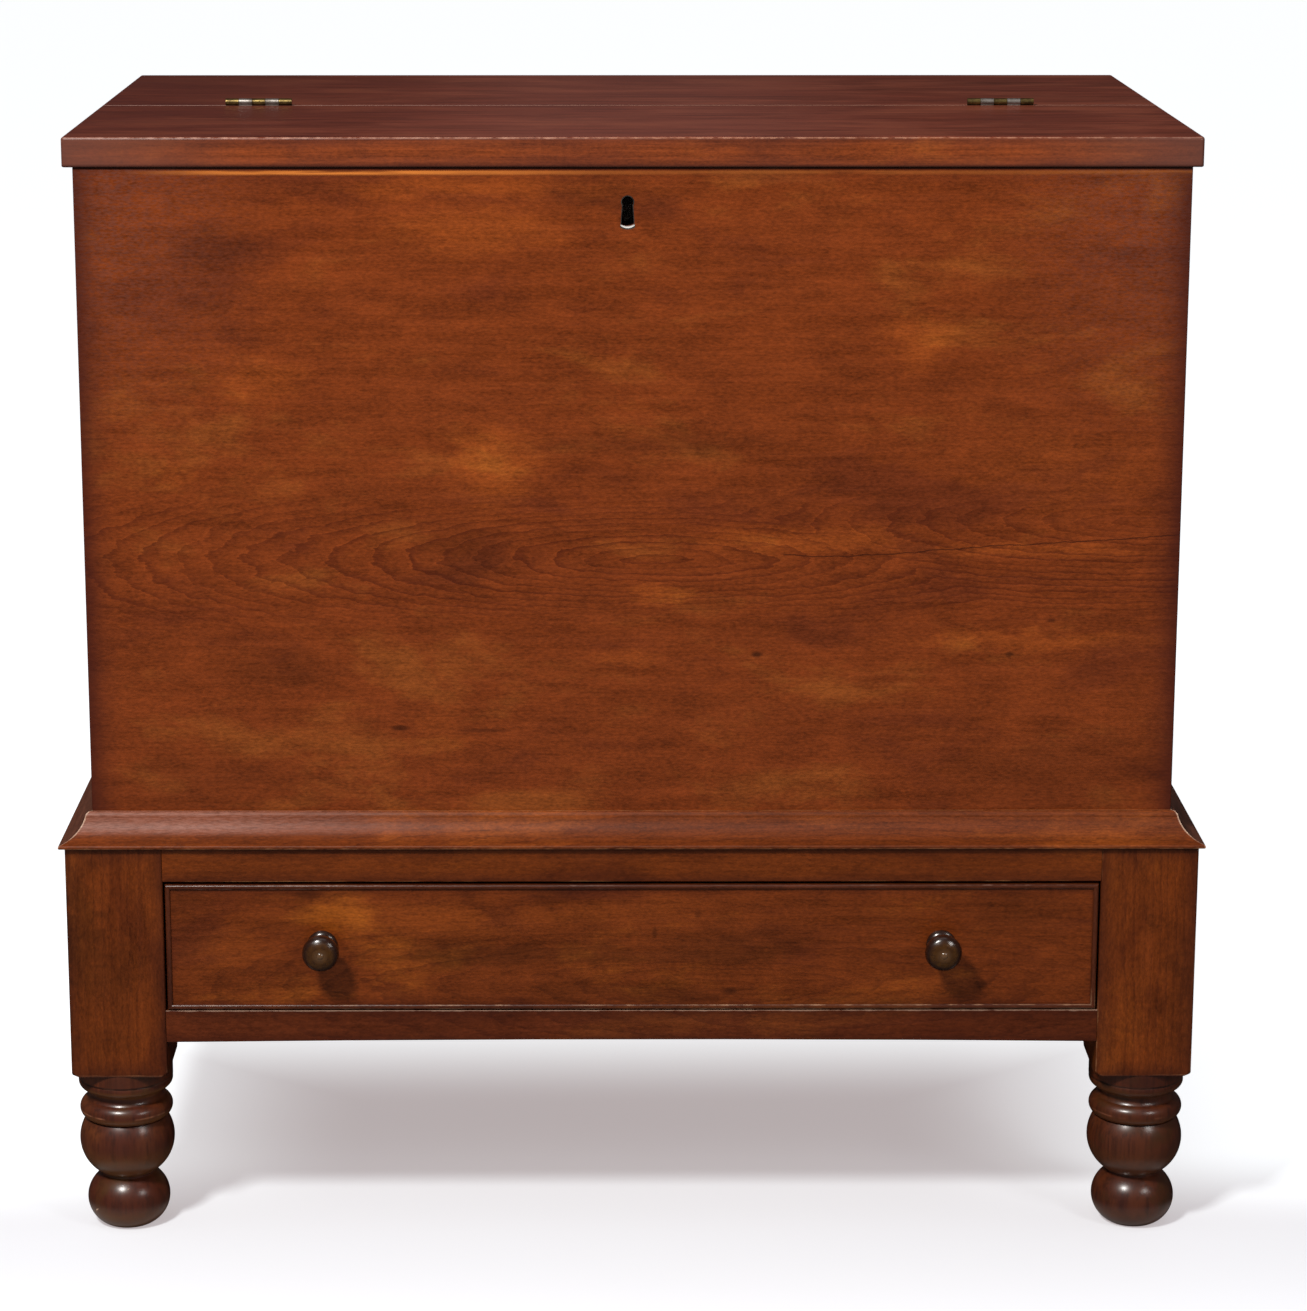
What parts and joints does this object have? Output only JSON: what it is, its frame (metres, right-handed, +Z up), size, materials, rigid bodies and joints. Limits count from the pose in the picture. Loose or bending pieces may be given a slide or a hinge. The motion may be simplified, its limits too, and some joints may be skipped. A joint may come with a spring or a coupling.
{
  "type": "sugar chest",
  "caption": "Lift-lid sugar chest: dovetailed case with two inner bins and a half-folding top, on a stand with one drawer, a waist moulding and turned feet.",
  "frame": {"origin": "on the floor, under the middle of the whole object's box", "axes": "+X to the chest's right as its front is looked at, +Y from its front to its back, +Z up"},
  "size_m": [0.897, 0.5652, 0.8834],
  "materials": {
    "primary_wood": "aged shellac over red-brown cherry, satin",
    "secondary_wood": "bare aged poplar",
    "knob_wood": "dark, polished",
    "brass": "dull aged brass",
    "iron": "dark worn iron"
  },
  "bodies": {
    "chest": {"bin_divider": "secondary_wood", "case_back": "secondary_wood", "case_bottom_cleats": "secondary_wood", "case_bottom_front": "secondary_wood", "case_bottom_rear": "secondary_wood", "case_front": "primary_wood", "case_side_left": "primary_wood", "case_side_right": "primary_wood", "drawer_guide_left": "secondary_wood", "drawer_guide_right": "secondary_wood", "drawer_kicker_left": "secondary_wood", "drawer_kicker_right": "secondary_wood", "drawer_runner_left": "secondary_wood", "drawer_runner_right": "secondary_wood", "drawer_stops": "secondary_wood", "hinge_leaf_fixed_left": "brass", "hinge_leaf_fixed_right": "brass", "hinge_pin_left": "brass", "hinge_pin_right": "brass", "hinge_screws_fixed": "brass", "keyhole_liner": "iron", "leg_front_left": "primary_wood", "leg_front_right": "primary_wood", "leg_rear_left": "primary_wood", "leg_rear_right": "primary_wood", "lock_back_plate": "iron", "lock_case": "iron", "lock_key_pin": "iron", "lock_screws": "iron", "stand_back": "secondary_wood", "stand_lower_rail": "primary_wood", "stand_side_left": "primary_wood", "stand_side_right": "primary_wood", "stand_upper_rail": "primary_wood", "top_glue_blocks": "secondary_wood", "top_rear_board": "primary_wood", "waist_moulding_front": "primary_wood", "waist_moulding_left": "primary_wood", "waist_moulding_right": "primary_wood"},
    "lid": {"lid": "primary_wood", "hinge_leaf_lid_left": "brass", "hinge_leaf_lid_right": "brass", "hinge_screws_lid": "brass", "strike_plate": "iron", "strike_screws": "iron"},
    "drawer": {"drawer_front": "primary_wood", "drawer_side_left": "secondary_wood", "drawer_side_right": "secondary_wood", "drawer_back": "secondary_wood", "drawer_floor": "secondary_wood", "cock_bead_top": "primary_wood", "cock_bead_bottom": "primary_wood", "cock_bead_left": "primary_wood", "cock_bead_right": "primary_wood", "knob_left": "knob_wood", "knob_right": "knob_wood"},
    "lock_bolt": {"lock_bolt": "iron"}
  },
  "joints": [
    {"name": "lid_hinge", "type": "hinge", "parent": "chest", "child": "lid", "pos_m": [0, 0.00805, 0.8807], "axis": [-1, 0, 0], "range_deg": [0, 181]},
    {"name": "drawer_slide", "type": "slide", "parent": "chest", "child": "drawer", "axis": [0, -1, 0], "range_m": [0, 0.36]},
    {"name": "bolt_slide", "type": "slide", "parent": "chest", "child": "lock_bolt", "axis": [1, 0, 0], "range_m": [0, 0.008]}
  ]
}
